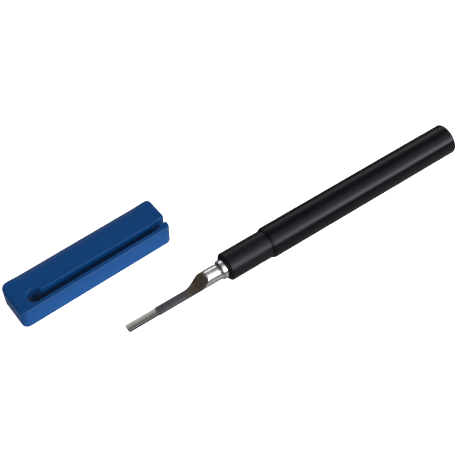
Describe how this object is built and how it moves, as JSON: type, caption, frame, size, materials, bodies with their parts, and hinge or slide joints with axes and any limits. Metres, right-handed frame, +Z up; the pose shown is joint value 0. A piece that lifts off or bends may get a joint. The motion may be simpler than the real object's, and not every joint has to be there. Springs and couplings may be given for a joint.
{
  "type": "deburring tool",
  "caption": "Pen-style deburring tool: a swivelling one-sided scraper blade in a spring-loaded release sleeve on a round handle, with a moulded clip cap lying beside it.",
  "frame": {"origin": "on the tool's axis, midway along the handle's barrel", "axes": "+X along the tool's axis towards the handle's rear end, so the blade points towards -X; +Z up; the tool and its cap both lie on the plane 6 mm below the origin"},
  "size_m": [0.1721, 0.0455, 0.012],
  "materials": {
    "handle_black": "glossy black",
    "plug_black": "matt black",
    "sleeve_black": "satin black",
    "turned_steel": "turned",
    "polished_steel": "polished",
    "bush_bronze": "sintered",
    "ball_steel": "ground and polished",
    "black_steel": "blackened",
    "spring_steel": "drawn wire",
    "blade_steel": "ground, with a polished shank",
    "cap_blue": "moulded, semi-gloss blue"
  },
  "bodies": {
    "handle": {"barrel": "handle_black", "rear_plug": "plug_black", "holder_core": "turned_steel", "nose_collar": "polished_steel", "front_bush": "bush_bronze", "rear_bush": "bush_bronze", "thrust_ball": "ball_steel", "thrust_screw": "black_steel", "locking_balls": "ball_steel", "spring_washer": "turned_steel", "sleeve_spring": "spring_steel"},
    "sleeve": {"release_sleeve": "sleeve_black"},
    "blade": {"blade": "blade_steel"},
    "cap": {"cap": "cap_blue"}
  },
  "joints": [
    {"name": "blade_swivel", "type": "hinge", "parent": "handle", "child": "blade", "pos_m": [-0.05, 0, 0], "axis": [1, 0, 0], "continuous": true},
    {"name": "sleeve_release", "type": "slide", "parent": "handle", "child": "sleeve", "axis": [1, 0, 0], "range_m": [0, 0.0025], "stiffness_N_per_m": 800, "springref_m": -0.004, "deforming": ["sleeve_spring"]},
    {"name": "cap_lift", "type": "slide", "parent": "handle", "child": "cap", "axis": [0, 0, 1], "range_m": [0, 0.06]}
  ]
}
